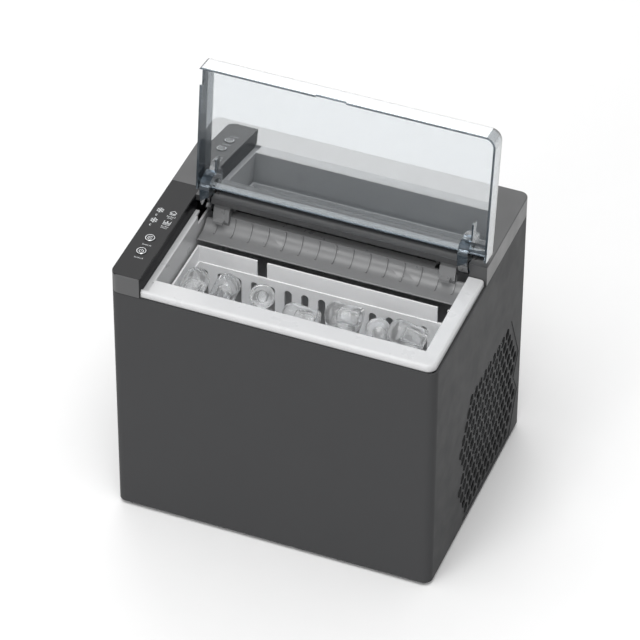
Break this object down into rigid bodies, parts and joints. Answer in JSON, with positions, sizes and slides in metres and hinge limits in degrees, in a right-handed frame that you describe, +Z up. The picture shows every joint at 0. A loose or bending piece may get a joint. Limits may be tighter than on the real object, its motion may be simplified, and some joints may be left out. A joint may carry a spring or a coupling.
{
  "type": "countertop ice maker",
  "caption": "Countertop ice maker: dark rounded case with a touch strip, a clear lid that swings up over a white ice bin, a lift-out basket, a tilting water tray and an ice shovel.",
  "frame": {"origin": "centre of the footprint, on the surface that the four feet stand on", "axes": "+Z up, +Y towards the machine's back, +X towards its right hand side seen from the front"},
  "size_m": [0.32, 0.253, 0.4298],
  "materials": {
    "case_grey": "satin dark grey moulding",
    "plate_black": "gloss black touch plate",
    "button_metal": "ringed metal key",
    "clear_lid": "clear moulded plastic",
    "tub_white": "smooth white moulding",
    "ice": "clear ice",
    "smoke_plastic": "translucent grey moulding",
    "pan_steel": "dark coated sheet",
    "steel": "plain steel",
    "nickel": "nickel plated",
    "black_plastic": "black moulding",
    "rubber": "soft black rubber",
    "foam": "charcoal foam",
    "black_paint": "black enamel",
    "copper": "bare copper",
    "board": "circuit board",
    "pump_white": "white moulding"
  },
  "bodies": {
    "case": {"outer_shell": "case_grey", "top_deck": "case_grey", "control_plate": "plate_black", "bin_liner": "tub_white", "base_pan": "pan_steel", "rear_panel": "pan_steel", "compressor_bracket": "pan_steel", "fan_bracket": "pan_steel", "evaporator_bracket": "pan_steel", "hinge_pin_left": "steel", "hinge_pin_right": "steel", "rear_screws": "steel", "condenser_fins": "steel", "fan_shroud": "steel", "evaporator_fingers": "nickel", "evaporator_tube": "nickel", "hinge_bracket_left": "black_plastic", "hinge_bracket_right": "black_plastic", "shovel_bracket_left": "black_plastic", "shovel_bracket_right": "black_plastic", "cord_gland": "black_plastic", "fan_motor": "black_plastic", "tray_motor": "black_plastic", "tray_limit_switch": "black_plastic", "drain_spout": "black_plastic", "ice_sensor_left": "black_plastic", "ice_sensor_right": "black_plastic", "rubber_feet": "rubber", "compressor_grommets": "rubber", "water_hose": "rubber", "insulation_foam": "foam", "compressor": "black_paint", "condenser_coil": "black_paint", "discharge_line": "copper", "suction_line": "copper", "liquid_line": "copper", "filter_drier": "copper", "solenoid_valve": "copper", "control_board": "board", "power_board": "board", "transformer": "board", "water_pump": "pump_white", "suction_strainer": "pump_white", "float_guide": "pump_white"},
    "lid": {"lid": "clear_lid"},
    "power_button": {"power_button": "button_metal"},
    "select_button": {"select_button": "button_metal"},
    "tray": {"water_tray": "smoke_plastic", "tray_shaft": "steel"},
    "shovel": {"ice_shovel": "smoke_plastic", "shovel_shaft": "steel"},
    "basket": {"ice_basket": "tub_white", "ice_bullets": "ice"},
    "fan": {"fan_blades": "black_plastic"},
    "impeller": {"pump_impeller": "pump_white"},
    "float": {"level_float": "pump_white"},
    "drain_cap": {"drain_cap": "black_plastic"}
  },
  "joints": [
    {"name": "lid_hinge", "type": "hinge", "parent": "case", "child": "lid", "pos_m": [0, 0.0181, 0.2844], "axis": [1, 0, 0], "range_deg": [0, 96.7]},
    {"name": "power_press", "type": "slide", "parent": "case", "child": "power_button", "axis": [0, 0, -1], "range_m": [0, 0.0008], "stiffness_N_per_m": 1500},
    {"name": "select_press", "type": "slide", "parent": "case", "child": "select_button", "axis": [0, 0, -1], "range_m": [0, 0.0008], "stiffness_N_per_m": 1500},
    {"name": "tray_tilt", "type": "hinge", "parent": "case", "child": "tray", "pos_m": [0, 0.068, 0.256], "axis": [1, 0, 0], "range_deg": [0, 60]},
    {"name": "shovel_swing", "type": "hinge", "parent": "case", "child": "shovel", "pos_m": [0, 0.02, 0.2764], "axis": [-1, 0, 0], "range_deg": [0, 31]},
    {"name": "basket_lift", "type": "slide", "parent": "case", "child": "basket", "axis": [0, 0, 1], "range_m": [0, 0.16]},
    {"name": "fan_spin", "type": "hinge", "parent": "case", "child": "fan", "pos_m": [0.1, 0.056, 0.085], "axis": [1, 0, 0], "continuous": true},
    {"name": "impeller_spin", "type": "hinge", "parent": "case", "child": "impeller", "pos_m": [-0.04, -0.062, 0.045], "axis": [0, 0, 1], "continuous": true},
    {"name": "float_rise", "type": "slide", "parent": "case", "child": "float", "axis": [0, 0, 1], "range_m": [0, 0.024]},
    {"name": "cap_pull", "type": "slide", "parent": "case", "child": "drain_cap", "axis": [-1, 0, 0], "range_m": [0, 0.03]}
  ],
  "couplings": [
    {"joint": "shovel_swing", "follows": "tray_tilt", "ratio": 0.5}
  ]
}
